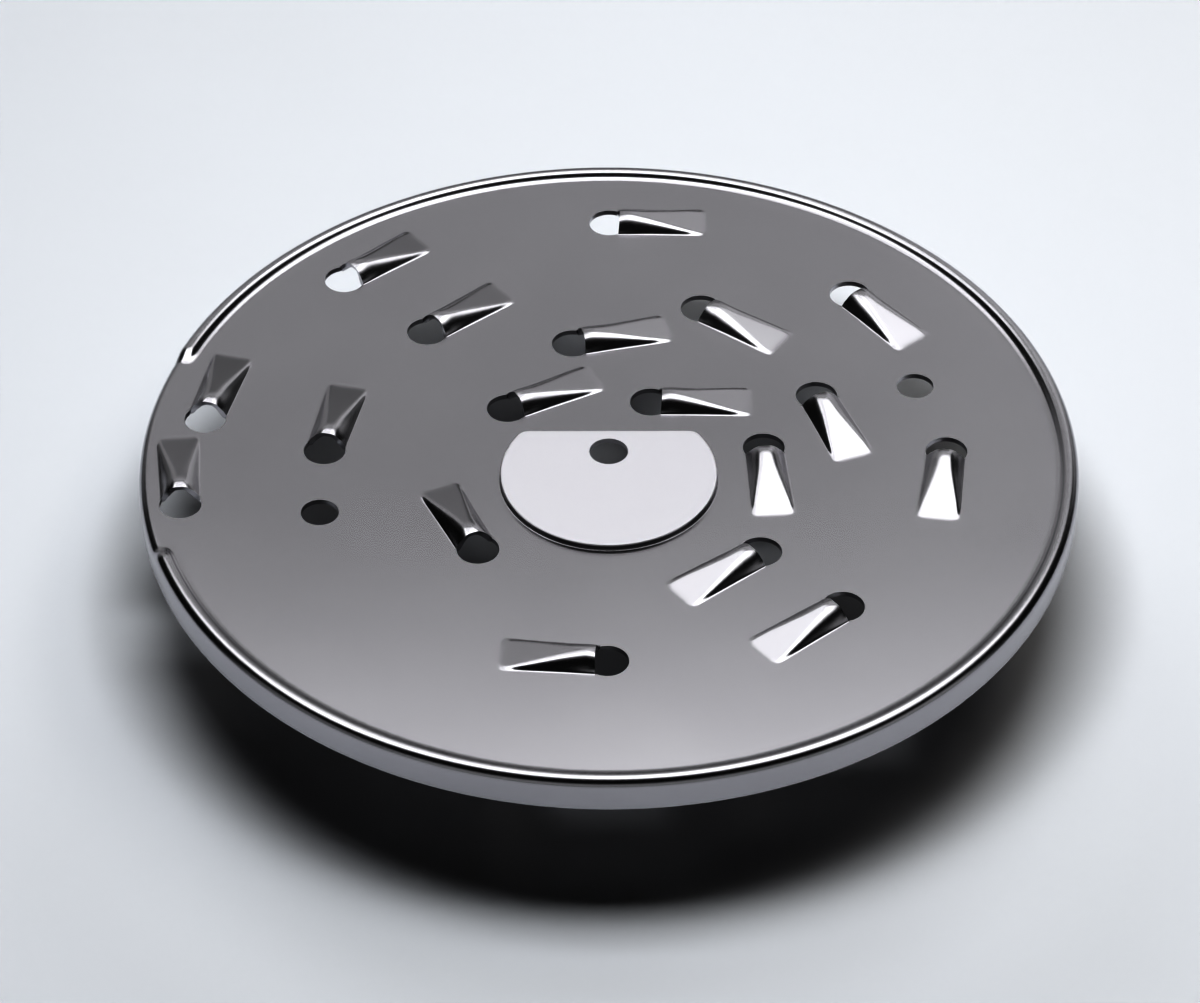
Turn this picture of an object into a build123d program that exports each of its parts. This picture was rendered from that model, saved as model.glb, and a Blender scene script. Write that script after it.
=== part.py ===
"""Pressed steel grating disc for a food processor, in millimetres.

The disc is one piece of sheet steel: a round plate with a rolled skirt, a raised rim that
stops on one side, a raised D pad round the drive bore, two locating holes and a spiral of
hollow grating teeth. The origin is on the disc's axis at the skirt's lower edge, +Z is up,
and bearings are degrees counterclockwise from +X.
"""

import os
from math import acos, atan2, cos, degrees, radians, sin, tan

from build123d import *

# Sheet and outline
disc_diameter = 175.0
sheet = 1.0
plate_height = 5.5  # plate's top face above the skirt's lower edge

# Raised rim, pressed up all round apart from one gap
rim_rise = 1.3  # crest above the plate
crest_radius = 1.4  # over the crest and down into the skirt
foot_radius = 1.8  # hollow curve from the plate up to the rim's inner wall
gap_start_angle = 159.0  # bearing where the rim starts to fall
gap_end_angle = 199.5  # bearing where it is at full height again
rim_fade = 4.0  # length along the edge in which it falls
gap_rise = 0.01  # trace of the rim left across the gap

# Drive pad, a raised D with its flat side towards +Y
pad_radius = 20.2
pad_centre = -6.0  # y of the D's round side
pad_flat = 6.0  # y of the D's flat side
pad_rise = 1.25
pad_corner = 2.5  # in plan, where the flat meets the round
pad_edge = 0.7  # round along the top edge
pad_foot = 0.5  # hollow round along the foot
bore_diameter = 7.2

# Locating holes, as shares of the tooth field and bearings
locating_diameter = 7.0
locating_places = [(0.606, 196.3), (0.702, 19.1)]

# Grating tooth, along its own axis from the hole's centre to its tail
tooth_hole_diameter = 7.8
tooth_feet = 2.0  # from the hole's centre back to the mouth's feet
tooth_length = 17.2  # from the feet to the tail
tooth_width = 8.6  # at the feet
tail_width = 7.9
tooth_rise = 2.9  # crown above the plate at the feet
crown_width = 2.4
crown_radius = 2.8  # along both edges of the crown at the mouth, running out to the tail
side_radius = 1.3  # hollow round where a side facet leaves the plate
tail_share = 0.03  # what is left of the tooth's section at its tail
tooth_border = 0.25  # flat plate kept beside the tooth's hollow rounds

# Tooth field: hole centres from the innermost radius to a margin inside the edge
first_tooth_radius = 17.5
last_tooth_margin = 7.3
tooth_web = 0.4  # least flat plate kept round a tooth

# Each tooth: its share of the field's depth, its bearing, and the turn of its axis away from
# the line square to its radius
tooth_rows = [
    (0.000, 62.9, 27.1),
    (0.096, 144.0, -25.5),
    (0.185, 4.9, -0.7),
    (0.257, 101.8, 2.2),
    (0.282, 227.1, -22.9),
    (0.333, 316.2, -8.4),
    (0.407, 23.9, -3.9),
    (0.470, 67.6, -13.1),
    (0.525, 133.5, -3.5),
    (0.568, 178.0, -9.7),
    (0.606, 269.6, -5.0),
    (0.663, 315.6, -6.9),
    (0.727, 1.2, -9.0),
    (0.786, 45.5, -7.0),
    (0.837, 89.8, 0.2),
    (0.890, 134.3, -4.3),
    (0.944, 171.8, -5.3),
    (1.000, 189.5, -4.7),
]

# Worked out from the sizes above
disc_radius = disc_diameter / 2
plate_under = plate_height - sheet
plate_radius = disc_radius - crest_radius - foot_radius - crest_radius
ring_start = plate_radius - sheet  # the outer sheet laps the plate by its own thickness
gap_angle = gap_end_angle - gap_start_angle
fade_angle = degrees(rim_fade / disc_radius)
flat_angle = gap_angle - 2 * fade_angle
flat_start_angle = gap_start_angle + fade_angle
flat_end_angle = gap_end_angle - fade_angle
field_depth = disc_radius - last_tooth_margin - first_tooth_radius
tooth_slope = atan2(tooth_rise, (tooth_width - crown_width) / 2)


def bearing_plane(bearing):
    """Upright plane through the disc's axis, with its local x running out along a bearing."""
    outward = (cos(radians(bearing)), sin(radians(bearing)), 0)
    normal = (sin(radians(bearing)), -cos(radians(bearing)), 0)
    return Plane(origin=(0, 0, 0), x_dir=outward, z_dir=normal)


def rim_turn(rise):
    """Slope of the rim's inner wall, where its hollow curve meets the crest's, in radians."""
    return acos(1 - rise / (crest_radius + foot_radius))


def rim_foot(rise):
    """Radius where the rim's hollow curve leaves the plate."""
    return disc_radius - crest_radius - (crest_radius + foot_radius) * sin(rim_turn(rise))


def rim_skin(rise, drop):
    """Draw the line from the plate over the rim to the skirt, some depth under the top face."""
    foot = (rim_foot(rise), plate_height + foot_radius)
    crest = (disc_radius - crest_radius, plate_height + rise - crest_radius)
    turn = degrees(rim_turn(rise))
    Line((ring_start, plate_height - drop), (foot[0], plate_height - drop))
    CenterArc(foot, foot_radius + drop, 270, turn)
    CenterArc(crest, crest_radius - drop, 90 + turn, -90 - turn)
    Line((disc_radius - drop, crest[1]), (disc_radius - drop, 0))


def edge_section(bearing, rise):
    """Closed section of the disc's outer sheet at a bearing, with a rim of the given rise."""
    with BuildSketch(bearing_plane(bearing)) as section:
        with BuildLine():
            rim_skin(rise, 0)
            rim_skin(rise, sheet)
            Line((disc_radius, 0), (disc_radius - sheet, 0))
            Line((ring_start, plate_height), (ring_start, plate_under))
        make_face()
    return section.sketch


def pad_outline(inset, level):
    """D outline of the drive pad at a height, moved in by a given distance."""
    with BuildSketch(Plane.XY.offset(level)) as outline:
        with Locations((0, pad_centre)):
            Circle(pad_radius - inset)
        with Locations((0, pad_flat - inset)):
            Rectangle(
                2 * pad_radius, 2 * pad_radius, align=(Align.CENTER, Align.MIN), mode=Mode.SUBTRACT
            )
        fillet(outline.vertices(), pad_corner - inset)
    return outline.sketch


def tooth_skin(share, width, drop):
    """Points and corner radii of the tooth's line across its axis, under the top face."""
    pull = drop * tan(tooth_slope / 2)
    half = width / 2
    border = half + share * side_radius * tan(tooth_slope / 2) + tooth_border
    crown = half - share * (tooth_width - crown_width) / 2 - pull
    rise = share * tooth_rise - drop
    points = [
        (-border, -drop),
        (pull - half, -drop),
        (-crown, rise),
        (crown, rise),
        (half - pull, -drop),
        (border, -drop),
    ]
    foot = share * (side_radius + drop)
    widest = 0.98 * crown_width / 2 / tan(tooth_slope / 2)  # the two edges' rounds never meet
    ridge = share * (min(crown_radius, widest) - drop)
    return points, [foot, ridge, ridge, foot]


def tooth_section(distance, share, width):
    """Closed hat section of the tooth's sheet at a distance along its axis."""
    plane = Plane(origin=(distance, 0, 0), x_dir=(0, 1, 0), z_dir=(1, 0, 0))
    top, top_radii = tooth_skin(share, width, 0)
    under, under_radii = tooth_skin(share, width, sheet)
    with BuildSketch(plane) as section:
        with BuildLine():
            FilletPolyline(*top, radius=top_radii)
            FilletPolyline(*under, radius=under_radii)
            Line(top[0], under[0])
            Line(top[-1], under[-1])
        make_face()
    return section.sketch


def field_place(share, bearing, turn=0.0):
    """Place in the tooth field on the plate's top face, turned to a tooth's own axis."""
    radius = first_tooth_radius + share * field_depth
    x = radius * cos(radians(bearing))
    y = radius * sin(radians(bearing))
    return Location((x, y, plate_height), (0, 0, bearing - 90 + turn))


locating = [field_place(*row) for row in locating_places]
tail = tooth_feet + tooth_length

# One tooth as a strip of formed sheet, with the origin at its hole's centre on the plate's top
with BuildPart() as tooth:
    loft(
        [
            tooth_section(tooth_feet, 1.0, tooth_width),
            tooth_section(tail, tail_share, tail_width),
        ],
        ruled=True,
    )

# Window that the strip fills in the plate
feet_border = tooth_skin(1.0, tooth_width, 0)[0][-1][0]
tail_border = tooth_skin(tail_share, tail_width, 0)[0][-1][0]
with BuildPart() as window:
    with BuildSketch() as strip:
        with BuildLine():
            Polyline(
                (tooth_feet, -feet_border),
                (tail, -tail_border),
                (tail, tail_border),
                (tooth_feet, feet_border),
                close=True,
            )
        make_face()
    extrude(amount=-sheet)

# Plate that one tooth takes up: its strip and its hole
with BuildSketch() as footprint:
    add(strip.sketch)
    Circle(tooth_hole_diameter / 2)

# Plate that is taken before the teeth: the rim, the bend down into the skirt, and the pad
with BuildSketch(Plane.XY.offset(plate_height)) as taken:
    Circle(disc_radius)
    Circle(rim_foot(rim_rise), mode=Mode.SUBTRACT)
    with BuildLine():
        gap_edge = CenterArc((0, 0), disc_radius - crest_radius, flat_start_angle, flat_angle)
        Line((0, 0), gap_edge @ 0)
        Line((0, 0), gap_edge @ 1)
    make_face(mode=Mode.SUBTRACT)
    add(pad_outline(-pad_foot, plate_height))

# Teeth from the innermost outwards, each where the plate round it is still free
tooth_places = []
occupied = [taken.sketch]
for row in tooth_rows:
    place = field_place(*row)
    here = footprint.sketch.moved(place)
    if all(here.distance_to(other) > tooth_web for other in occupied):
        tooth_places.append(place)
        occupied.append(here)

with BuildPart() as disc:
    # Flat plate
    with BuildSketch(Plane.XY.offset(plate_under)):
        Circle(plate_radius)
    extrude(amount=sheet)

    # Rim and skirt, the gap, and the two runs where the rim fades
    rim_start = edge_section(gap_end_angle, rim_rise)
    rim_end = edge_section(gap_start_angle, rim_rise)
    flat_start = edge_section(flat_start_angle, gap_rise)
    flat_end = edge_section(flat_end_angle, gap_rise)
    revolve(rim_start.face(), Axis.Z, 360 - gap_angle)
    revolve(flat_start.face(), Axis.Z, flat_angle)
    loft([rim_end, flat_start], ruled=True)
    loft([flat_end, rim_start], ruled=True)

    # Drive pad, raised above and hollow below
    extrude(pad_outline(0, plate_under).face(), amount=sheet + pad_rise)
    pad_top = disc.faces().filter_by(Axis.Z).sort_by(Axis.Z)[-1]
    fillet(pad_top.edges(), pad_edge)
    plate_top = disc.faces().filter_by(Axis.Z).sort_by(Axis.Z)[-2]
    fillet(plate_top.inner_wires().edges(), pad_foot)
    extrude(pad_outline(sheet, plate_under).face(), amount=pad_rise, mode=Mode.SUBTRACT)
    with Locations((0, 0, plate_height)):
        Cylinder(bore_diameter / 2, 4 * (sheet + pad_rise), mode=Mode.SUBTRACT)

    # Teeth, each set into its window and then punched through
    with Locations(*tooth_places):
        add(window.part, mode=Mode.SUBTRACT)
        add(tooth.part)
        Cylinder(tooth_hole_diameter / 2, 2 * (sheet + tooth_rise), mode=Mode.SUBTRACT)

    # Locating holes
    with Locations(*locating):
        Cylinder(locating_diameter / 2, 4 * sheet, mode=Mode.SUBTRACT)

os.makedirs("parts", exist_ok=True)
disc.part.label = "grating_disc"
export_step(disc.part, "parts/grating_disc.step")
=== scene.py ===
"""Studio scene of a pressed steel grating disc for a food processor.

The disc is one piece of formed sheet: a flat plate with a rolled rim and skirt, a raised D pad
round the drive bore, and a spiral of hollow teeth, each over its own round hole. Both skins of
the sheet are drawn here close to the CAD model's sizes and inside its box, the teeth are set out
by Geometry Nodes, and everything is welded into one closed mesh. Sizes are in millimetres and
bearings in degrees, counterclockwise from +X, unless a name says otherwise.
"""

import logging  # noqa: E402
import math  # noqa: E402
from collections.abc import Iterable, Sequence  # noqa: E402
from dataclasses import dataclass, field  # noqa: E402
from enum import Enum  # noqa: E402

import bmesh  # noqa: E402
import bpy  # noqa: E402
from mathutils import Matrix, Vector  # noqa: E402
from mathutils.geometry import delaunay_2d_cdt  # noqa: E402


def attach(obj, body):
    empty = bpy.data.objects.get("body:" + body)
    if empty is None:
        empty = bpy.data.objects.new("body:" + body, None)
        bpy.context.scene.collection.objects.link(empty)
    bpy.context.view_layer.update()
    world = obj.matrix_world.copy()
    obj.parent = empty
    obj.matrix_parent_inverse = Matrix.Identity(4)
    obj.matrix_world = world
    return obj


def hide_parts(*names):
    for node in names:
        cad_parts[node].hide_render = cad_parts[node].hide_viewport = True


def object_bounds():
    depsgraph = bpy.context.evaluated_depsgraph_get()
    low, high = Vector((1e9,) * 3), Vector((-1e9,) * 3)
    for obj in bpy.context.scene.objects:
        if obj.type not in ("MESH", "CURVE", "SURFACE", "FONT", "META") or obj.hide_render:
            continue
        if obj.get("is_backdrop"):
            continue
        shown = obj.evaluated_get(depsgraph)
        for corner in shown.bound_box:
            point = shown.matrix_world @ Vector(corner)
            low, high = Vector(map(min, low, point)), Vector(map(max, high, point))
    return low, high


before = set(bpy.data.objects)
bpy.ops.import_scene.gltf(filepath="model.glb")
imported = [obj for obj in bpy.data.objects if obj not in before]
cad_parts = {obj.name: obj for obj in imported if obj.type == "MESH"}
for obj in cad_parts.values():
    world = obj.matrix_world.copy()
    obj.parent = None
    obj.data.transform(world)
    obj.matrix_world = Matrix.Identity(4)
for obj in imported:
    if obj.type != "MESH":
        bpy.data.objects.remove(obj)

LOG = logging.getLogger("grating_disc")

MM = 0.001
NODE = "grating_disc"
BODY = "root"

# Where the studio's panels hang, and the two tints of their light
CEILING = 690.0
WALL = 810.0
LOW_CARD = 400.0
PANEL_STAGGER = 10.0
COOL = (0.965, 0.99, 1.03)
WARM = (1.03, 1.0, 0.96)

Plan = tuple[float, float]
Point = tuple[float, float, float]


class Skin(Enum):
    """The two faces of the sheet."""

    TOP = "top"
    UNDER = "under"


def arc_steps(start: float, end: float, count: int) -> list[float]:
    """Evenly spaced values from start to end.

    Args:
        start: First value.
        end: Last value.
        count: Number of steps between them.

    Returns:
        count + 1 values.
    """
    return [start + (end - start) * step / count for step in range(count + 1)]


def circle(centre: Plan, radius: float, count: int = 48) -> list[Plan]:
    """Points of a circle in plan.

    Args:
        centre: Centre of the circle.
        radius: Radius of the circle.
        count: Number of points.

    Returns:
        The points, counterclockwise, without a closing repeat.
    """
    angles = arc_steps(0.0, 2 * math.pi, count)[:-1]
    return [(centre[0] + radius * math.cos(a), centre[1] + radius * math.sin(a)) for a in angles]


def at_height(loop: Iterable[Plan], height: float) -> list[Point]:
    """Lift a plan loop to a height.

    Args:
        loop: Points in plan.
        height: Their z.

    Returns:
        The points in space.
    """
    return [(x, y, height) for x, y in loop]


class SheetMesh:
    """Loose faces of formed sheet, kept in millimetres until they are made an object."""

    def __init__(self) -> None:
        """Start with no points and no faces."""
        self.points: list[Point] = []
        self.faces: list[tuple[int, ...]] = []

    def add_grid(self, rows: Sequence[Sequence[Point]], closed: bool) -> None:
        """Span four-sided faces between rows of equally many points.

        Args:
            rows: Rows of points, each beside the next.
            closed: Whether each row runs round and meets its own start.
        """
        width = len(rows[0])
        first = len(self.points)
        for row in rows:
            self.points.extend(row)
        last = width if closed else width - 1
        for row in range(len(rows) - 1):
            low = first + row * width
            for column in range(last):
                after = (column + 1) % width
                high = low + width
                self.faces.append((low + column, low + after, high + after, high + column))

    def add_flat(
        self, outer: Sequence[Plan], holes: Sequence[Sequence[Plan]], height: float
    ) -> None:
        """Fill a level area with triangles, leaving its holes open.

        Args:
            outer: Outline of the area.
            holes: Outlines of the openings in it.
            height: z of the area.
        """
        places: list[Vector] = []
        loops: list[list[int]] = []
        for loop in (outer, *holes):
            loops.append(list(range(len(places), len(places) + len(loop))))
            places.extend(Vector(place) for place in loop)
        inside_only, same_place = 1, 1e-6
        made = delaunay_2d_cdt(places, [], loops, inside_only, same_place)
        coords, triangles, old_points, old_faces = made[0], made[2], made[3], made[5]
        first = len(self.points)
        for place, old in zip(coords, old_points):
            x, y = places[old[0]] if old else place
            self.points.append((x, y, height))
        for triangle, areas in zip(triangles, old_faces):
            if list(areas) == [0]:
                self.faces.append(tuple(first + corner for corner in triangle))

    def to_object(self, name: str) -> bpy.types.Object:
        """Make a scene object of the faces, in metres.

        Args:
            name: Name of the object.

        Returns:
            The linked object, at the origin.
        """
        data = bpy.data.meshes.new(name)
        data.from_pydata([Vector(p) * MM for p in self.points], [], self.faces)
        made = bpy.data.objects.new(name, data)
        bpy.context.scene.collection.objects.link(made)
        return made


@dataclass(frozen=True)
class Sheet:
    """The sheet that everything is pressed from."""

    disc_radius: float
    thickness: float = 1.0
    plate_top: float = 5.5

    @property
    def plate_under(self) -> float:
        """Height of the plate's lower face."""
        return self.plate_top - self.thickness


@dataclass
class Rim:
    """Raised rim and rolled skirt, one section swept round the disc, with a gap in the rim."""

    sheet: Sheet
    rise: float = 1.15
    crest_radius: float = 1.4
    roll_radius: float = 1.8
    foot_radius: float = 1.9
    gap_start: float = 159.0
    gap_end: float = 199.5
    fade: float = 4.0
    draw_in: float = 0.8
    cut_round: float = 0.16
    plate_lap: float = 0.12
    gap_lap: float = 0.15
    coarse_step: float = 1.0
    fine_step: float = 0.25
    fade_middle: float = 2.0
    fade_reach: float = 4.0
    cut_steps: int = 3

    @property
    def crest_at(self) -> float:
        """Radius of the rim's crest."""
        return self.sheet.disc_radius - self.roll_radius

    @property
    def turn(self) -> float:
        """Slope of the inner wall where its two curves meet, in radians."""
        return math.acos(1 - self.rise / (self.crest_radius + self.foot_radius))

    @property
    def foot_at(self) -> float:
        """Radius where the inner wall leaves the plate."""
        return self.crest_at - (self.crest_radius + self.foot_radius) * math.sin(self.turn)

    def fullness(self, bearing: float) -> float:
        """How much of the rim stands at a bearing.

        Args:
            bearing: Bearing on the disc.

        Returns:
            1 for the full rim, 0 across the gap.
        """
        share = min(max(self.into_gap(bearing), 0.0), 1.0)
        return 1 - share * share * (3 - 2 * share)

    def breadth(self, bearing: float) -> float:
        """How much of the rim's breadth is left at a bearing, drawn in once its height is gone.

        Args:
            bearing: Bearing on the disc.

        Returns:
            1 for the full breadth, 0 across the gap.
        """
        return 1 - min(max(self.into_gap(bearing) - self.draw_in, 0.0), 1.0)

    def into_gap(self, bearing: float) -> float:
        """How far a bearing lies inside the gap, in lengths of the rim's fade."""
        fade_angle = math.degrees(self.fade / self.sheet.disc_radius)
        return min(bearing - self.gap_start, self.gap_end - bearing) / fade_angle

    def bearings(self) -> list[float]:
        """Bearings of the swept sections, close together where the rim fades.

        Returns:
            The bearings, in order round the disc.
        """
        steps: list[float] = []
        bearing = 0.0
        while bearing < 360.0 - self.fine_step / 2:
            steps.append(bearing)
            from_start = abs(bearing - self.gap_start - self.fade_middle)
            from_end = abs(bearing - self.gap_end + self.fade_middle)
            fine = min(from_start, from_end) < self.fade_reach
            bearing += self.fine_step if fine else self.coarse_step
        return steps

    def joins_at(self, bearing: float) -> float:
        """Radius where the section meets the flat plate.

        Args:
            bearing: Bearing on the disc.

        Returns:
            The radius.
        """
        full, none = self.foot_at - self.plate_lap, self.crest_at - self.gap_lap
        return none + self.breadth(bearing) * (full - none)

    def skin(self, bearing: float, skin: Skin) -> list[Plan]:
        """Line of one skin from the plate over the rim to the skirt.

        Args:
            bearing: Bearing on the disc.
            skin: Which face of the sheet.

        Returns:
            Points as radius and height.
        """
        top = skin is Skin.TOP
        wall_steps, roll_steps = (8, 14) if top else (4, 6)
        drop = 0.0 if top else self.sheet.thickness
        level, fullness = self.sheet.plate_top - drop, self.fullness(bearing)
        foot, crest, roll = self.foot_radius + drop, self.crest_radius - drop, self.roll_radius - drop
        inner: list[Plan] = [(self.foot_at - self.plate_lap, 0.0)]
        for angle in arc_steps(0.0, self.turn, wall_steps):
            inner.append((self.foot_at + foot * math.sin(angle), foot * (1 - math.cos(angle))))
        for angle in arc_steps(self.turn, 0.0, wall_steps)[1:]:
            height = self.rise - crest * (1 - math.cos(angle))
            inner.append((self.crest_at - crest * math.sin(angle), height))
        start = inner[0][0]
        squeeze = (self.crest_at - self.joins_at(bearing)) / (self.crest_at - start)
        line: list[Plan] = []
        for radius, height in inner:
            line.append((self.crest_at - (self.crest_at - radius) * squeeze, level + height * fullness))
        for angle in arc_steps(0.0, math.pi / 2, roll_steps)[1:]:
            height = level + self.rise * fullness - roll * (1 - math.cos(angle))
            line.append((self.crest_at + roll * math.sin(angle), height))
        return line

    def section(self, bearing: float) -> list[Plan]:
        """Section from the plate's top face, round the skirt's cut edge, to its lower face.

        Args:
            bearing: Bearing on the disc.

        Returns:
            Points as radius and height.
        """
        top, under = self.skin(bearing, Skin.TOP), self.skin(bearing, Skin.UNDER)
        outside, inside = self.sheet.disc_radius, self.sheet.disc_radius - self.sheet.thickness
        cut: list[Plan] = []
        for angle in arc_steps(0.0, math.pi / 2, self.cut_steps):
            sideways = self.cut_round * (1 - math.cos(angle))
            cut.append((outside - sideways, self.cut_round * (1 - math.sin(angle))))
        for angle in arc_steps(math.pi / 2, 0.0, self.cut_steps):
            sideways = self.cut_round * (1 - math.cos(angle))
            cut.append((inside + sideways, self.cut_round * (1 - math.sin(angle))))
        return [*top, *cut, *reversed(under)]

    def inner_loop(self) -> list[Plan]:
        """Plan loop where the flat plate meets the rim.

        Returns:
            Points in plan, one for each bearing.
        """
        loop: list[Plan] = []
        for bearing in self.bearings():
            radius, angle = self.joins_at(bearing), math.radians(bearing)
            loop.append((radius * math.cos(angle), radius * math.sin(angle)))
        return loop

    def build(self, mesh: SheetMesh) -> None:
        """Add the swept sections to the sheet.

        Args:
            mesh: Mesh that takes the faces.
        """
        columns: list[list[Point]] = []
        for bearing in self.bearings():
            angle = math.radians(bearing)
            section = self.section(bearing)
            columns.append([(r * math.cos(angle), r * math.sin(angle), z) for r, z in section])
        rows = [list(row) for row in zip(*columns)]
        mesh.add_grid(rows, closed=True)


@dataclass
class DrivePad:
    """Raised D pad round the drive bore, hollow below."""

    sheet: Sheet
    radius: float = 20.2
    centre: float = -6.0
    flat: float = 6.0
    rise: float = 1.25
    corner: float = 2.5
    edge: float = 0.3
    foot: float = 0.2
    recess_round: float = 0.3
    border: float = 0.3
    bore_radius: float = 3.6
    corner_steps: int = 12
    round_steps: int = 110
    flat_steps: int = 14
    foot_steps: int = 6
    edge_steps: int = 9
    recess_steps: int = 4
    arc_apart: float = 0.02

    def outline(self) -> list[tuple[Plan, Plan]]:
        """Points of the D with the outward direction at each, counterclockwise.

        Returns:
            Pairs of a point and its outward direction.
        """
        corner_y = self.flat - self.corner
        corner_x = math.sqrt((self.radius - self.corner) ** 2 - (corner_y - self.centre) ** 2)
        meet = math.atan2(corner_y - self.centre, corner_x)
        line: list[tuple[Plan, Plan]] = []

        def turn(middle: Plan, radius: float, start: float, end: float, count: int) -> None:
            """Add one arc of the outline.

            Args:
                middle: Centre of the arc.
                radius: Radius of the arc.
                start: First angle, in radians.
                end: Last angle, in radians.
                count: Number of steps between them.
            """
            for angle in arc_steps(start, end, count):
                way = (math.cos(angle), math.sin(angle))
                line.append(((middle[0] + radius * way[0], middle[1] + radius * way[1]), way))

        start, end = math.pi - meet + self.arc_apart, 2 * math.pi + meet - self.arc_apart
        turn((-corner_x, corner_y), self.corner, math.pi / 2, math.pi - meet, self.corner_steps)
        turn((0.0, self.centre), self.radius, start, end, self.round_steps)
        turn((corner_x, corner_y), self.corner, meet, math.pi / 2, self.corner_steps)
        for x in arc_steps(corner_x, -corner_x, self.flat_steps)[1:-1]:
            line.append(((x, self.flat), (0.0, 1.0)))
        return line

    def loop(self, inset: float) -> list[Plan]:
        """Outline of the D moved in by a distance.

        Args:
            inset: How far it moves in, or out if negative.

        Returns:
            Points in plan.
        """
        return [(p[0] - inset * way[0], p[1] - inset * way[1]) for p, way in self.outline()]

    def top_line(self) -> list[Plan]:
        """Inset and height of the top skin from the plate to the pad's flat face.

        Returns:
            Pairs of inset and height.
        """
        level, crown = self.sheet.plate_top, self.sheet.plate_top + self.rise
        line = [(-self.foot - self.border, level)]
        for angle in arc_steps(0.0, math.pi / 2, self.foot_steps):
            line.append((self.foot * (math.sin(angle) - 1), level + self.foot * (1 - math.cos(angle))))
        for angle in arc_steps(0.0, math.pi / 2, self.edge_steps):
            line.append((self.edge * (1 - math.cos(angle)), crown - self.edge * (1 - math.sin(angle))))
        line.append((self.edge + self.border, crown))
        return line

    def under_line(self) -> list[Plan]:
        """Inset and height of the lower skin from the plate into the recess.

        Returns:
            Pairs of inset and height.
        """
        level, crown = self.sheet.plate_under, self.sheet.plate_under + self.rise
        wall, bend = self.sheet.thickness, self.recess_round
        line = [(wall - bend - self.border, level)]
        for angle in arc_steps(0.0, math.pi / 2, self.recess_steps):
            line.append((wall - bend * (1 - math.sin(angle)), level + bend * (1 - math.cos(angle))))
        for angle in arc_steps(0.0, math.pi / 2, self.recess_steps):
            line.append((wall + bend * (1 - math.cos(angle)), crown - bend * (1 - math.sin(angle))))
        line.append((wall + bend + self.border, crown))
        return line

    def plate_hole(self, skin: Skin) -> list[Plan]:
        """Outline where the pad leaves the plate on one skin.

        Args:
            skin: Which face of the sheet.

        Returns:
            Points in plan.
        """
        line = self.top_line() if skin is Skin.TOP else self.under_line()
        return self.loop(line[0][0])

    def build(self, mesh: SheetMesh) -> None:
        """Add both skins of the pad and the bore's wall to the sheet.

        Args:
            mesh: Mesh that takes the faces.
        """
        bore = circle((0.0, 0.0), self.bore_radius)
        for line in (self.top_line(), self.under_line()):
            mesh.add_grid([at_height(self.loop(inset), z) for inset, z in line], closed=True)
            inset, height = line[-1]
            mesh.add_flat(self.loop(inset), [bore], height)
        heights = (self.top_line()[-1][1], self.under_line()[-1][1])
        mesh.add_grid([at_height(bore, height) for height in heights], closed=True)


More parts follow.
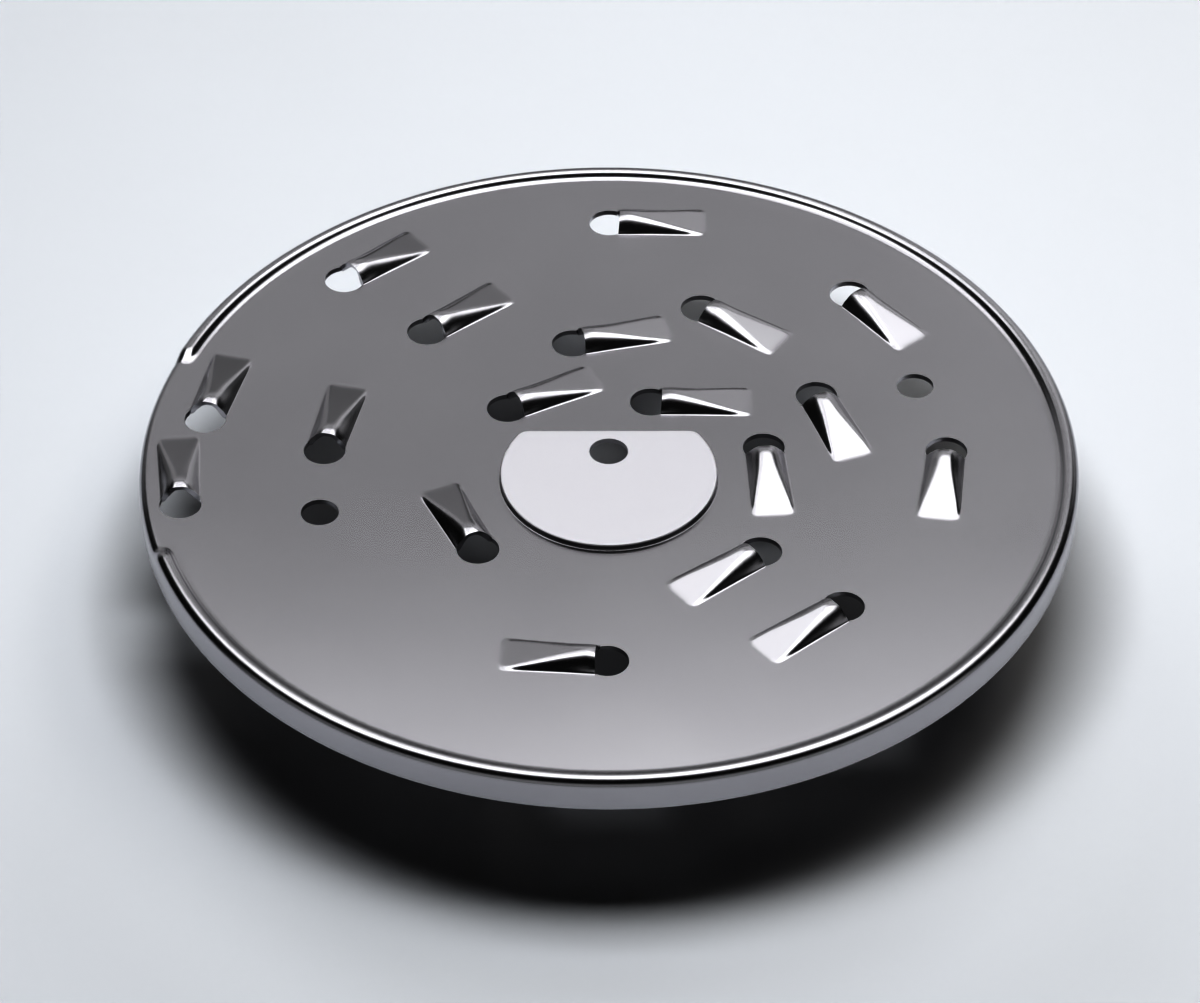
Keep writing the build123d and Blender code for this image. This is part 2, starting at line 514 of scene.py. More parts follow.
@dataclass
class Tooth:
    """One formed tooth in its own frame: x runs from its hole's centre to its tail."""

    sheet: Sheet
    hole_radius: float = 3.9
    feet: float = 1.7
    length: float = 17.2
    width: float = 7.1
    tail_width: float = 8.0
    rise: float = 3.02
    mouth_slope: float = 2.0
    side_slope: float = 1.05
    tail_slope: float = 0.4
    mouth_run: float = 7.0
    tail_run: float = 3.5
    mouth_blend: float = 3.6
    crown_blend: float = 1.4
    tail_blend: float = 0.2
    foot_blend: float = 0.24
    tail_bend: float = 0.8
    tail_corner: float = 1.5
    lip: float = 3.0
    lip_drop: float = 0.8
    lip_lean: float = 0.4
    border: float = 0.5
    tail_border: float = 0.05
    slit: float = 0.03
    blend_share: float = 0.8
    least_step: float = 0.004
    hole_steps: int = 44
    runs: int = 24
    lines: int = 22

    @property
    def tail(self) -> float:
        """Distance along the axis where the ramp's plane meets the plate."""
        return self.feet + self.length

    @property
    def end(self) -> float:
        """Distance along the axis where the strip ends in flat plate."""
        return self.tail + self.tail_bend + self.tail_border

    def half_width(self, along: float) -> float:
        """Half the width between the side facets' feet at a distance along the axis."""
        share = (along - self.feet) / self.length
        return (self.width + (self.tail_width - self.width) * share) / 2

    def ramp(self, along: float) -> float:
        """Height of the ramp at a distance, with a soft bend at the tail and a rolled lip.

        Args:
            along: Distance along the axis.

        Returns:
            Height above the plate, 0 past the tail.
        """
        pitch = self.rise / self.length
        left = self.tail - along
        if left < self.tail_bend:
            return pitch * max(left + self.tail_bend, 0.0) ** 2 / (4 * self.tail_bend)
        inside_lip = max(self.feet + self.lip - along, 0.0) / self.lip
        return pitch * left - self.lip_drop * inside_lip**2

    def arching(self, along: float) -> float:
        """How far the section is drawn up into a round arch: 1 at the mouth, 0 further back."""
        return max(1 - max(along - self.feet, 0.0) / self.mouth_run, 0.0) ** 2

    def flank(self, along: float, across: float) -> float:
        """Height of a side facet, with a hollow round at its foot.

        Args:
            along: Distance along the axis.
            across: Distance from the axis.

        Returns:
            Height above the plate, 0 outside the tooth.
        """
        left = max(self.tail - along, 0.0)
        back_off = min(left / self.tail_run, 1.0)
        steepness = self.tail_slope + (self.side_slope - self.tail_slope) * back_off
        steepness += (self.mouth_slope - self.side_slope) * self.arching(along)
        short = min(max(self.tail_corner - left, 0.0), self.tail_corner)
        corner = self.tail_corner - math.sqrt(self.tail_corner**2 - short**2)
        height = steepness * (self.half_width(along) - corner - abs(across))
        blend = self.foot_blend
        if height >= blend:
            return height
        return max(height + blend, 0.0) ** 2 / (4 * blend)

    def height(self, along: float, across: float) -> float:
        """Height of the top skin above the plate, with its crown rounded over.

        Args:
            along: Distance along the axis.
            across: Distance from the axis.

        Returns:
            The height.
        """
        ramp, flank = self.ramp(along), self.flank(along, across)
        share = min(max((self.tail - along) / self.length, 0.0), 1.0)
        blend = self.tail_blend + (self.crown_blend - self.tail_blend) * share
        blend += (self.mouth_blend - self.crown_blend) * self.arching(along)
        blend = min(blend, self.blend_share * (ramp + flank))
        if blend <= abs(ramp - flank):
            return min(ramp, flank)
        near = (blend - abs(ramp - flank)) / blend
        return min(ramp, flank) - near * near * blend / 4

    def edge(self, along: float) -> float:
        """Half width of the strip, out to the flat plate."""
        return self.half_width(along) + self.border

    def shares(self) -> list[float]:
        """Places of the strip's lines across it, as shares of its half width, from edge to edge."""
        half = [math.sin(math.pi / 2 * step / self.lines) for step in range(self.lines, 0, -1)]
        return [*half, 0.0, *[-share for share in reversed(half)]]

    def mouth(self, share: float) -> float:
        """Distance along the axis where one line of the strip is cut off at the mouth.

        Args:
            share: The line's place across the strip.

        Returns:
            The distance, a little further at the crown.
        """
        return self.feet + self.slit + self.lip_lean * (1 - share * share)

    def under(self, along: float, across: float) -> Point:
        """Point of the lower skin under a point of the top skin, square to it.

        Args:
            along: Distance along the axis.
            across: Distance from the axis.

        Returns:
            The point.
        """
        tiny = 0.02
        uphill = self.height(along + tiny, across) - self.height(along - tiny, across)
        aside = self.height(along, across + tiny) - self.height(along, across - tiny)
        normal = Vector((-uphill / (2 * tiny), -aside / (2 * tiny), 1.0)).normalized()
        top = Vector((along, across, self.height(along, across)))
        return tuple(top - normal * self.sheet.thickness)

    def strip(self, skin: Skin) -> list[list[Point]]:
        """Grid of one skin of the strip, from the mouth to the tail.

        Args:
            skin: Which face of the sheet.

        Returns:
            One row of points for each line along the strip.
        """
        rows: list[list[Point]] = []
        for share in self.shares():
            start = self.mouth(share)
            row: list[Point] = []
            for step in range(self.runs + 1):
                along = start + (self.end - start) * (1 - math.cos(math.pi * step / self.runs)) / 2
                across = share * self.edge(along)
                if skin is Skin.TOP:
                    row.append((along, across, self.height(along, across)))
                else:
                    row.append(self.under(along, across))
            rows.append(row)
        return rows

    def outline(self) -> list[Plan]:
        """Opening that the tooth and its hole take out of the flat plate, in its own frame."""
        return [*self.hole_edge(), *[(x, y) for x, y, _ in self.frame_edge()]]

    def hole_edge(self) -> list[Plan]:
        """Cut edge of the plate at the front: the slits' ends and the hole's free arc.

        Returns:
            Points in the tooth's own frame.
        """
        start = math.acos(self.feet / self.hole_radius)
        wide = self.edge(self.feet + self.slit)
        arc = [
            (self.hole_radius * math.cos(a), self.hole_radius * math.sin(a))
            for a in arc_steps(start, 2 * math.pi - start, self.hole_steps)
        ]
        return [(self.feet, wide), *arc, (self.feet, -wide)]

    def frame_edge(self) -> list[Point]:
        """Edge of the strip where it runs into the plate, from the far side round the tail.

        Returns:
            Points in the tooth's own frame, without repeats.
        """
        strip = self.strip(Skin.TOP)
        tail = [row[-1] for row in reversed(strip)]
        line = [*strip[-1][:-1], *tail, *reversed(strip[0][:-1])]
        kept: list[Point] = [line[0]]
        for point in line[1:]:
            if math.dist(point, kept[-1]) > self.least_step:
                kept.append(point)
        return kept

    def build(self, mesh: SheetMesh) -> None:
        """Add the strip's skins, its cut mouth and the plate's cut edge to the sheet.

        Args:
            mesh: Mesh that takes the faces.
        """
        top, under = self.strip(Skin.TOP), self.strip(Skin.UNDER)
        mesh.add_grid(top, closed=False)
        mesh.add_grid(under, closed=False)
        mesh.add_grid([[row[0] for row in top], [row[0] for row in under]], closed=False)
        wide = self.edge(self.feet + self.slit)
        sides = [(self.feet + self.slit, wide), *self.hole_edge(), (self.feet + self.slit, -wide)]
        mesh.add_grid([at_height(sides, 0.0), at_height(sides, -self.sheet.thickness)], closed=False)


@dataclass
class ToothField:
    """Where the teeth and the locating holes stand on the plate."""

    sheet: Sheet
    tooth: Tooth
    first_radius: float = 17.5
    last_margin: float = 7.3
    locating_radius: float = 3.5
    locating: tuple[Plan, ...] = ((0.606, 196.3), (0.702, 19.1))
    rows: tuple[Point, ...] = (
        (0.000, 62.9, 27.1),
        (0.096, 144.0, -25.5),
        (0.185, 4.9, -0.7),
        (0.257, 101.8, 2.2),
        (0.282, 227.1, -22.9),
        (0.333, 316.2, -8.4),
        (0.407, 23.9, -3.9),
        (0.470, 67.6, -13.1),
        (0.525, 133.5, -3.5),
        (0.568, 178.0, -9.7),
        (0.606, 269.6, -5.0),
        (0.663, 315.6, -6.9),
        (0.727, 1.2, -9.0),
        (0.786, 45.5, -7.0),
        (0.837, 89.8, 0.2),
        (0.890, 134.3, -4.3),
        (0.944, 171.8, -5.3),
        (1.000, 189.5, -4.7),
    )

    def place(self, share: float, bearing: float) -> Plan:
        """Point on the plate.

        Args:
            share: Share of the way from the innermost hole to the outermost.
            bearing: Bearing on the disc.

        Returns:
            The point in plan.
        """
        depth = self.sheet.disc_radius - self.last_margin - self.first_radius
        radius = self.first_radius + share * depth
        return radius * math.cos(math.radians(bearing)), radius * math.sin(math.radians(bearing))

    def axis(self, bearing: float, turn: float) -> float:
        """Direction of a tooth's axis in plan, in radians."""
        return math.radians(bearing - 90 + turn)

    def openings(self) -> list[list[Plan]]:
        """Outlines that the teeth and the locating holes take out of the plate.

        Returns:
            One loop in plan for each opening.
        """
        own = self.tooth.outline()
        loops: list[list[Plan]] = []
        for share, bearing, turn in self.rows:
            x, y = self.place(share, bearing)
            c, s = math.cos(self.axis(bearing, turn)), math.sin(self.axis(bearing, turn))
            loops.append([(x + c * u - s * v, y + s * u + c * v) for u, v in own])
        return loops + self.locating_loops()

    def locating_loops(self) -> list[list[Plan]]:
        """Outlines of the locating holes."""
        return [circle(self.place(*spot), self.locating_radius) for spot in self.locating]

    def places_object(self) -> bpy.types.Object:
        """Points of the teeth, each with the direction of its axis.

        Returns:
            The linked object, which only holds the points.
        """
        data = bpy.data.meshes.new("tooth_places")
        spots = [self.place(share, bearing) for share, bearing, _ in self.rows]
        data.from_pydata([Vector((x, y, self.sheet.plate_top)) * MM for x, y in spots], [], [])
        axis = data.attributes.new("axis", "FLOAT", "POINT")
        axis.data.foreach_set("value", [self.axis(bearing, turn) for _, bearing, turn in self.rows])
        made = bpy.data.objects.new("tooth_places", data)
        bpy.context.scene.collection.objects.link(made)
        return made


class Graph:
    """Adds nodes to a tree, each with its settings, values and links."""

    def __init__(self, tree: bpy.types.NodeTree) -> None:
        """Work on a tree.

        Args:
            tree: Shader or geometry tree.
        """
        self.tree = tree

    def node(
        self, kind: str, settings: dict | None = None, inputs: dict | None = None
    ) -> bpy.types.Node:
        """Add one node.

        Args:
            kind: The node's type.
            settings: Properties of the node, set first.
            inputs: Values, sockets or wrapped sockets by input name or number.

        Returns:
            The node.
        """
        made = self.tree.nodes.new(kind)
        for name, value in (settings or {}).items():
            setattr(made, name, value)
        for key, value in (inputs or {}).items():
            socket = made.inputs[key]
            source = value.socket if isinstance(value, Wire) else value
            if isinstance(source, bpy.types.NodeSocket):
                self.tree.links.new(source, socket)
            else:
                socket.default_value = source
        return made

    def wire(self, made: bpy.types.Node, output: str | int = 0) -> "Wire":
        """Wrap one output of a node for maths."""
        return Wire(self, made.outputs[output])

    def cloud(self, place: bpy.types.NodeSocket, scale: float) -> "Wire":
        """Add a slow noise, for a tone that drifts over a surface.

        Args:
            place: Coordinates on the surface.
            scale: How fast it drifts.

        Returns:
            The noise, wrapped.
        """
        noise = self.node(
            "ShaderNodeTexNoise", None, {"Vector": place, "Scale": scale, "Detail": 2.0}
        )
        return self.wire(noise, "Fac")


class Wire:
    """A value socket that takes part in Python expressions."""

    def __init__(self, graph: Graph, socket: bpy.types.NodeSocket) -> None:
        """Wrap a socket.

        Args:
            graph: Graph that the maths nodes join.
            socket: Output that carries the value.
        """
        self.graph = graph
        self.socket = socket

    def maths(self, operation: str, *values: "Wire | float", clamp: bool = False) -> "Wire":
        """Add one Math node.

        Args:
            operation: The node's operation.
            values: Its operands in order.
            clamp: Whether the result is held between 0 and 1.

        Returns:
            The wrapped result.
        """
        settings = {"operation": operation, "use_clamp": clamp}
        made = self.graph.node("ShaderNodeMath", settings, dict(enumerate(values)))
        return self.graph.wire(made)

    def __add__(self, other: "Wire | float") -> "Wire":
        """Sum."""
        return self.maths("ADD", self, other)

    __radd__ = __add__

    def __sub__(self, other: "Wire | float") -> "Wire":
        """Difference."""
        return self.maths("SUBTRACT", self, other)

    def __rsub__(self, other: "Wire | float") -> "Wire":
        """Difference from a number."""
        return self.maths("SUBTRACT", other, self)

    def __mul__(self, other: "Wire | float") -> "Wire":
        """Product."""
        return self.maths("MULTIPLY", self, other)

    __rmul__ = __mul__

    def __pow__(self, other: "Wire | float") -> "Wire":
        """Power."""
        return self.maths("POWER", self, other)

    def __rpow__(self, other: "Wire | float") -> "Wire":
        """Power of a number."""
        return self.maths("POWER", other, self)

    def smaller(self, other: "Wire | float") -> "Wire":
        """The smaller of two values."""
        return self.maths("MINIMUM", self, other)

    def step(self, low: float, high: float) -> "Wire":
        """Rise from 0 at low to 1 at high.

        Args:
            low: Value where the result is 0.
            high: Value where the result is 1.

        Returns:
            The wrapped result, held between 0 and 1.
        """
        return self.maths("DIVIDE", self - low, high - low, clamp=True)


@dataclass(frozen=True)
class SatinSteel:
    """Rolled stainless sheet with a fine satin, and a matt blasted face on the pad, whose lighter colour
    is a painted highlight for the bright sheen it catches.
    """

    pad: DrivePad
    colour: tuple[float, float, float] = (0.56, 0.555, 0.575)
    deep_colour: tuple[float, float, float] = (0.54, 0.535, 0.555)
    # lighter colour of the pad's face: a painted highlight for the sheen it catches from the lights, laid
    # over its real matt finish
    pad_sheen_colour: tuple[float, float, float] = (0.82, 0.815, 0.84)
    roughness: float = 0.26
    grain_roughness: float = 0.03
    pad_roughness: float = 0.62
    pad_margin: float = 0.02
    pad_fade: float = 0.15
    grain_scale: float = 900.0
    grain_stretch: tuple[float, float, float] = (1.0, 6.0, 1.0)
    cloud_scale: float = 24.0
    cloud_edges: Plan = (0.35, 0.65)

    def material(self) -> bpy.types.Material:
        """Make the steel.

        Returns:
            The material.
        """
        made = bpy.data.materials.new("satin_steel")
        made.use_nodes = True
        graph = Graph(made.node_tree)
        shader = made.node_tree.nodes["Principled BSDF"]
        shader.inputs["Metallic"].default_value = 1.0
        place = graph.node("ShaderNodeTexCoord").outputs["Object"]
        grain_place = graph.node("ShaderNodeMapping", None, {"Vector": place, "Scale": self.grain_stretch})
        grain = graph.wire(
            graph.node(
                "ShaderNodeTexNoise",
                None,
                {
                    "Vector": grain_place.outputs[0],
                    "Scale": self.grain_scale,
                    "Detail": 3.0,
                    "Roughness": 0.6,
                },
            ),
            "Fac",
        )
        cloud = graph.cloud(place, self.cloud_scale)
        pad = self.pad_mask(graph, place)
        tone = graph.node(
            "ShaderNodeMix",
            {"data_type": "RGBA"},
            {
                "Factor": cloud.step(*self.cloud_edges),
                "A": (*self.deep_colour, 1.0),
                "B": (*self.colour, 1.0),
            },
        )
        # the pad's face takes the lighter colour here: painted highlight
        face = graph.node(
            "ShaderNodeMix",
            {"data_type": "RGBA"},
            {"Factor": pad, "A": tone.outputs["Result"], "B": (*self.pad_sheen_colour, 1.0)},
        )
        rough = self.roughness + self.grain_roughness * (grain - 0.5)
        rough = rough + (self.pad_roughness - self.roughness) * pad
        links = made.node_tree.links
        links.new(face.outputs["Result"], shader.inputs["Base Color"])
        links.new(rough.socket, shader.inputs["Roughness"])
        return made

    def pad_mask(self, graph: Graph, place: bpy.types.NodeSocket) -> Wire:
        """Mask of the pad's flat face, for its real matt roughness and its painted highlight.

        Args:
            graph: Graph that takes the nodes.
            place: Object coordinates.

        Returns:
            1 on the face, 0 elsewhere.
        """
        parts = graph.node("ShaderNodeSeparateXYZ", None, {"Vector": place})
        x, y = graph.wire(parts, "X"), graph.wire(parts, "Y")
        from_middle = y - self.pad.centre * MM
        reach = (x * x + from_middle * from_middle) ** 0.5
        inside = (self.pad.radius * MM - reach).smaller(self.pad.flat * MM - y)
        return inside.step(self.pad_margin * MM, (self.pad_margin + self.pad_fade) * MM)


@dataclass
class GratingDisc:
    """The whole disc: plate, rim, pad and teeth, welded into one closed sheet."""

    sheet: Sheet
    weld: float = 0.002
    sliver: float = 0.0001
    sharp_angle: float = 35.0
    rim: Rim = field(init=False)
    pad: DrivePad = field(init=False)
    tooth: Tooth = field(init=False)
    teeth: ToothField = field(init=False)

    def __post_init__(self) -> None:
        """Make the parts of the disc from the same sheet."""
        self.rim = Rim(self.sheet)
        self.pad = DrivePad(self.sheet)
        self.tooth = Tooth(self.sheet)
        self.teeth = ToothField(self.sheet, self.tooth)

    def blank(self) -> bpy.types.Object:
        """Make the sheet without its teeth: plate, rim, pad and locating holes.

        Returns:
            The sheet, with the teeth's openings still empty.
        """
        mesh = SheetMesh()
        self.rim.build(mesh)
        self.pad.build(mesh)
        levels = {Skin.TOP: self.sheet.plate_top, Skin.UNDER: self.sheet.plate_under}
        for skin, height in levels.items():
            holes = [self.pad.plate_hole(skin), *self.teeth.openings()]
            mesh.add_flat(self.rim.inner_loop(), holes, height)
        for loop in self.teeth.locating_loops():
            mesh.add_grid([at_height(loop, height) for height in levels.values()], closed=True)
        return mesh.to_object("disc_blank")

    def tooth_object(self) -> bpy.types.Object:
        """Make one tooth in its own frame.

        Returns:
            The linked object.
        """
        mesh = SheetMesh()
        self.tooth.build(mesh)
        return mesh.to_object("formed_tooth")

    def spread_tree(self) -> bpy.types.NodeTree:
        """Make the tree that sets a tooth at every place and welds it into the plate.

        Returns:
            The tree, with named inputs for tooth, places, weld distance and finish.
        """
        tree = bpy.data.node_groups.new("tooth_spread", "GeometryNodeTree")
        shape = tree.interface
        shape.new_socket("Geometry", in_out="INPUT", socket_type="NodeSocketGeometry")
        for name, kind in (
            ("Tooth", "NodeSocketObject"),
            ("Places", "NodeSocketObject"),
            ("Weld Distance", "NodeSocketFloat"),
            ("Finish", "NodeSocketMaterial"),
        ):
            shape.new_socket(name, in_out="INPUT", socket_type=kind)
        shape.new_socket("Geometry", in_out="OUTPUT", socket_type="NodeSocketGeometry")
        graph = Graph(tree)
        given = graph.node("NodeGroupInput").outputs
        tooth = graph.node(
            "GeometryNodeObjectInfo", None, {"Object": given["Tooth"], "As Instance": True}
        )
        places = graph.node("GeometryNodeObjectInfo", None, {"Object": given["Places"]})
        axis = graph.node("GeometryNodeInputNamedAttribute", {"data_type": "FLOAT"}, {"Name": "axis"})
        turn = graph.node("ShaderNodeCombineXYZ", None, {"Z": axis.outputs["Attribute"]})
        spread = graph.node(
            "GeometryNodeInstanceOnPoints",
            None,
            {
                "Points": places.outputs["Geometry"],
                "Instance": tooth.outputs["Geometry"],
                "Rotation": turn.outputs["Vector"],
            },
        )
        both = graph.node("GeometryNodeJoinGeometry")
        tree.links.new(spread.outputs["Instances"], both.inputs[0])
        tree.links.new(given["Geometry"], both.inputs[0])
        real = graph.node("GeometryNodeRealizeInstances", None, {"Geometry": both.outputs[0]})
        weld = graph.node(
            "GeometryNodeMergeByDistance",
            None,
            {"Geometry": real.outputs[0], "Distance": given["Weld Distance"]},
        )
        dressed = graph.node(
            "GeometryNodeSetMaterial", None, {"Geometry": weld.outputs[0], "Material": given["Finish"]}
        )
        graph.node("NodeGroupOutput", None, {"Geometry": dressed.outputs[0]})
        return tree

    def build(self, finish: bpy.types.Material) -> bpy.types.Object:
        """Make the finished disc.

        Args:
            finish: Material of the sheet.

        Returns:
            The disc as one plain mesh.
        """
        blank, tooth, places = self.blank(), self.tooth_object(), self.teeth.places_object()
        tree = self.spread_tree()
        sockets = tree.interface.items_tree
        keys = {item.name: item.identifier for item in sockets if item.in_out == "INPUT"}
        spread = blank.modifiers.new("tooth_spread", "NODES")
        spread.node_group = tree
        spread[keys["Tooth"]] = tooth
        spread[keys["Places"]] = places
        spread[keys["Weld Distance"]] = self.weld * MM
        spread[keys["Finish"]] = finish
        graph = bpy.context.evaluated_depsgraph_get()
        data = bpy.data.meshes.new_from_object(blank.evaluated_get(graph))
        for spare in (blank, tooth, places):
            bpy.data.objects.remove(spare)
        data.name = "pressed_disc"
        self.close(data)
        disc = bpy.data.objects.new("pressed_disc", data)
        bpy.context.scene.collection.objects.link(disc)
        return disc

    def close(self, data: bpy.types.Mesh) -> None:
        """Turn the welded faces outwards and keep only the true edges sharp.

        Args:
            data: The welded mesh.
        """
        shell = bmesh.new()
        shell.from_mesh(data)
        bmesh.ops.dissolve_degenerate(shell, dist=self.sliver * MM, edges=shell.edges)
        bmesh.ops.recalc_face_normals(shell, faces=shell.faces)
        open_edges = sum(not edge.is_manifold for edge in shell.edges)
        shell.to_mesh(data)
        shell.free()
        data.shade_smooth()
        data.set_sharp_from_angle(angle=math.radians(self.sharp_angle))
        LOG.info("sheet has %d faces and %d open edges", len(data.polygons), open_edges)


@dataclass(frozen=True)
class PaleFloor:
    """Smooth pale table top with a slow, faint cloud in its tone."""

    colour: tuple[float, float, float] = (0.644, 0.644, 0.644)
    deep_colour: tuple[float, float, float] = (0.636, 0.636, 0.636)
    roughness: float = 0.75
    cloud_scale: float = 9.0
    cloud_edges: Plan = (0.3, 0.7)

    def material(self) -> bpy.types.Material:
        """Make the floor's material.

        Returns:
            The material.
        """
        made = bpy.data.materials.new("pale_floor")
        made.use_nodes = True
        shader = made.node_tree.nodes["Principled BSDF"]
        shader.inputs["Roughness"].default_value = self.roughness
        shader.inputs["Specular IOR Level"].default_value = 0.0
        graph = Graph(made.node_tree)
        place = graph.node("ShaderNodeTexCoord").outputs["Object"]
        cloud = graph.cloud(place, self.cloud_scale)
        tone = graph.node(
            "ShaderNodeMix",
            {"data_type": "RGBA"},
            {
                "Factor": cloud.step(*self.cloud_edges),
                "A": (*self.deep_colour, 1.0),
                "B": (*self.colour, 1.0),
            },
        )
        made.node_tree.links.new(tone.outputs["Result"], shader.inputs["Base Color"])
        return made


class PanelUse(Enum):
    """What a studio panel is hung for."""

    LIGHT = "light the table"
    REFLECTION = "show in the steel"


@dataclass(frozen=True)
class SoftPanel:
    """One evenly lit panel of the studio."""

    use: PanelUse
    at: Point
    aim: Point
    size: Plan
    brightness: float
    tint: Point = (1.0, 1.0, 1.0)

    def hang(self, name: str) -> None:
        """Hang the panel, facing its aim.

        Args:
            name: Name of the light.
        """
        data = bpy.data.lights.new(name, "AREA")
        data.shape = "RECTANGLE"
        data.size, data.size_y = self.size[0] * MM, self.size[1] * MM
        data.energy = self.brightness * math.pi * data.size * data.size_y
        data.color = self.tint
        lamp = bpy.data.objects.new(name, data)
        lamp.location = Vector(self.at) * MM
        lamp.rotation_mode = "QUATERNION"
        lamp.rotation_quaternion = (Vector(self.aim) - Vector(self.at)).to_track_quat("-Z", "Y")
        lamp.visible_camera = False
        lamp.visible_glossy = self.use is PanelUse.REFLECTION
        lamp.visible_diffuse = self.use is PanelUse.LIGHT
        bpy.context.scene.collection.objects.link(lamp)


def overhead(
    use: PanelUse, x: Plan, y: Plan, brightness: float, tint: Point = (1.0, 1.0, 1.0)
) -> SoftPanel:
    """Panel under the studio's ceiling, facing down.

    Args:
        use: What it is hung for.
        x: Its extent from left to right.
        y: Its extent from front to back.
        brightness: How bright it is.
        tint: Colour of its light.

    Returns:
        The panel.
    """
    middle = (sum(x) / 2, sum(y) / 2)
    at = (*middle, CEILING - (PANEL_STAGGER if use is PanelUse.REFLECTION else 0.0))
    return SoftPanel(use, at, (*middle, 0.0), (x[1] - x[0], y[1] - y[0]), brightness, tint)


def upright(
    use: PanelUse, x: Plan, z: Plan, brightness: float, tint: Point = (1.0, 1.0, 1.0)
) -> SoftPanel:
    """Card at the back of the studio, facing the front.

    Args:
        use: What it is hung for.
        x: Its extent from left to right.
        z: Its extent from foot to head.
        brightness: How bright it is.
        tint: Colour of its light.

    Returns:
        The card.
    """
    middle = (sum(x) / 2, sum(z) / 2)
    back = WALL - (PANEL_STAGGER if use is PanelUse.REFLECTION else 0.0)
    at, aim = (middle[0], back, middle[1]), (middle[0], 0.0, middle[1])
    return SoftPanel(use, at, aim, (x[1] - x[0], z[1] - z[0]), brightness, tint)


def low_card(place: Plan, faces: Plan, width: float, brightness: float) -> SoftPanel:
    """Dim card on a front or side wall, for the steel to show.

    Args:
        place: Its middle in plan.
        faces: The point in plan that it faces.
        width: Its width.
        brightness: How bright it is.

    Returns:
        The card.
    """
    middle, size = LOW_CARD / 2, (width, LOW_CARD)
    return SoftPanel(PanelUse.REFLECTION, (*place, middle), (*faces, middle), size, brightness)


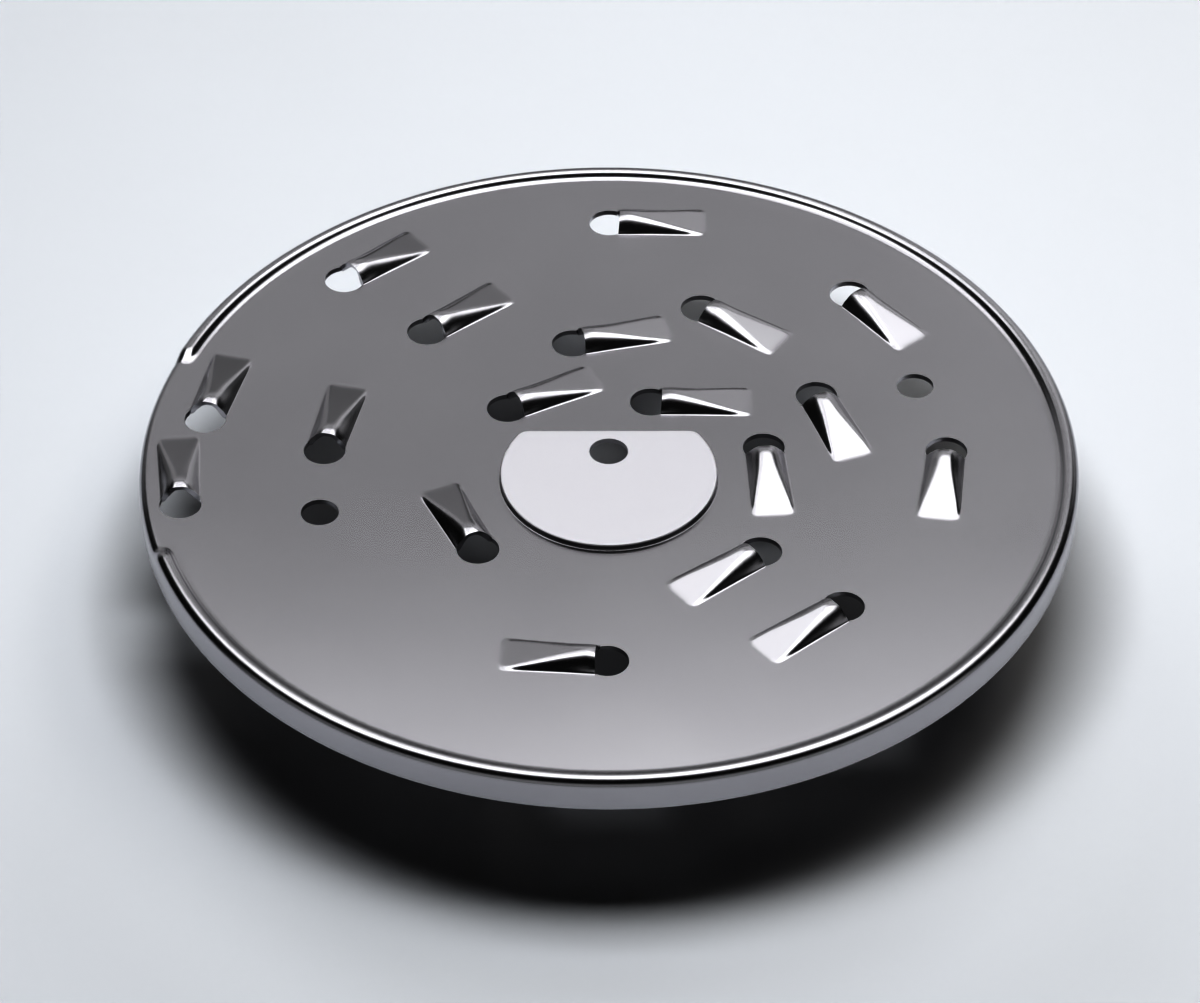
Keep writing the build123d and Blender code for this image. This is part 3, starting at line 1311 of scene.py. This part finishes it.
@dataclass
class Studio:
    """Floor, lights and camera round the disc."""

    sheet: Sheet
    lift: float = 24.5
    floor_half: float = 3000.0
    contrast: float = 2.0
    room: tuple[float, float, float] = (0.004, 0.004, 0.0042)
    panels: tuple[SoftPanel, ...] = (
        overhead(PanelUse.LIGHT, (-250.0, 250.0), (-120.0, 40.0), 15.4, COOL),
        overhead(PanelUse.LIGHT, (-250.0, 250.0), (40.0, 200.0), 9.15, COOL),
        overhead(PanelUse.LIGHT, (-320.0, 320.0), (360.0, 600.0), 2.1, COOL),
        overhead(PanelUse.LIGHT, (320.0, 520.0), (-120.0, 600.0), 3.35, WARM),
        upright(PanelUse.LIGHT, (-600.0, -200.0), (450.0, 600.0), 8.8, COOL),
        upright(PanelUse.LIGHT, (200.0, 600.0), (450.0, 600.0), 8.2, COOL),
        upright(PanelUse.LIGHT, (200.0, 600.0), (0.0, 150.0), 2.75, WARM),
        overhead(PanelUse.REFLECTION, (-320.0, 320.0), (-120.0, 200.0), 2.65),
        overhead(PanelUse.REFLECTION, (-320.0, 0.0), (200.0, 460.0), 1.5),
        overhead(PanelUse.REFLECTION, (0.0, 320.0), (200.0, 460.0), 2.25),
        overhead(PanelUse.REFLECTION, (-320.0, 320.0), (460.0, 604.0), 2.36),
        overhead(PanelUse.REFLECTION, (-520.0, -320.0), (-120.0, 600.0), 2.5),
        overhead(PanelUse.REFLECTION, (320.0, 520.0), (-120.0, 600.0), 2.1),
        upright(PanelUse.REFLECTION, (-600.0, -200.0), (0.0, 300.0), 0.57),
        upright(PanelUse.REFLECTION, (-200.0, 200.0), (0.0, 130.0), 0.8),
        upright(PanelUse.REFLECTION, (200.0, 600.0), (0.0, 300.0), 0.85),
        upright(PanelUse.REFLECTION, (-1000.0, -600.0), (60.0, 450.0), 0.38),
        upright(PanelUse.REFLECTION, (600.0, 1000.0), (60.0, 450.0), 0.6),
        upright(PanelUse.REFLECTION, (-600.0, -200.0), (300.0, 450.0), 0.6),
        upright(PanelUse.REFLECTION, (-200.0, 260.0), (300.0, 450.0), 0.62),
        upright(PanelUse.REFLECTION, (260.0, 600.0), (300.0, 450.0), 1.0),
        upright(PanelUse.REFLECTION, (-600.0, -200.0), (450.0, 700.0), 0.82),
        upright(PanelUse.REFLECTION, (-200.0, 130.0), (450.0, 700.0), 0.88),
        upright(PanelUse.REFLECTION, (130.0, 600.0), (450.0, 700.0), 1.1),
        low_card((0.0, -WALL), (0.0, 0.0), 1600.0, 0.55),
        low_card((-WALL, -450.0), (0.0, -450.0), 700.0, 0.38),
        low_card((WALL, -450.0), (0.0, -450.0), 700.0, 0.6),
    )
    elevation: float = 41.60
    distance: float = 933.0
    roll: float = 0.10
    sensor: float = 36.0
    clip: Plan = (10.0, 20000.0)
    image: tuple[int, int] = (1200, 1003)
    focal_pixels: float = 5000.0
    middle_pixel: Plan = (608.7, 456.3)

    def floor(self) -> None:
        """Lay the floor under the disc."""
        finish = PaleFloor().material()
        half, low = self.floor_half * MM, -self.lift * MM
        data = bpy.data.meshes.new("floor")
        corners = [(-half, -half, low), (half, -half, low), (half, half, low), (-half, half, low)]
        data.from_pydata(corners, [], [(0, 1, 2, 3)])
        data.materials.append(finish)
        floor = bpy.data.objects.new("floor", data)
        bpy.context.scene.collection.objects.link(floor)
        floor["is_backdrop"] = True

    def world(self) -> None:
        """Surround the table with a dim even room."""
        world = bpy.data.worlds.new("studio")
        world.use_nodes = True
        background = world.node_tree.nodes["Background"]
        background.inputs["Color"].default_value = (*self.room, 1.0)
        bpy.context.scene.world = world

    def camera(self) -> None:
        """Set the camera at the photograph's angle and framing."""
        tilt, roll = math.radians(self.elevation), math.radians(self.roll)
        back = Vector((0.0, -math.cos(tilt), math.sin(tilt)))
        level = Vector((1.0, 0.0, 0.0))
        rise = back.cross(level)
        right = level * math.cos(roll) - rise * math.sin(roll)
        up = level * math.sin(roll) + rise * math.cos(roll)
        aside = (self.middle_pixel[0] - self.image[0] / 2) / self.focal_pixels * self.distance
        above = (self.image[1] / 2 - self.middle_pixel[1]) / self.focal_pixels * self.distance
        at = Vector((0.0, 0.0, self.sheet.plate_top)) - right * aside - up * above + back * self.distance
        data = bpy.data.cameras.new("camera")
        data.lens = self.focal_pixels / self.image[0] * self.sensor
        data.sensor_width = self.sensor
        data.clip_start, data.clip_end = self.clip[0] * MM, self.clip[1] * MM
        camera = bpy.data.objects.new("camera", data)
        turned = Matrix((right, up, back)).transposed().to_4x4()
        camera.matrix_world = Matrix.Translation(at * MM) @ turned
        bpy.context.scene.collection.objects.link(camera)
        bpy.context.scene.camera = camera

    def build(self) -> None:
        """Set up the whole studio."""
        self.floor()
        self.world()
        for number, panel in enumerate(self.panels, start=1):
            panel.hang(f"panel_{number:02d}")
        self.camera()
        view = bpy.context.scene.view_settings
        view.view_transform = "Standard"
        view.gamma = 1.0 / self.contrast


def main() -> None:
    """Build the disc to the CAD model's width, dress it and light it."""
    logging.basicConfig(level=logging.INFO, format="%(name)s: %(message)s")
    cad_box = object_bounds()
    sheet = Sheet(disc_radius=round((cad_box[1].x - cad_box[0].x) / 2 / MM, 1))
    disc = GratingDisc(sheet)
    piece = disc.build(SatinSteel(disc.pad).material())
    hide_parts(NODE)
    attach(piece, BODY)
    LOG.info("piece %s stands for %s", piece.name, NODE)
    Studio(sheet).build()
    bpy.context.view_layer.update()


if __name__ == "__main__":
    main()
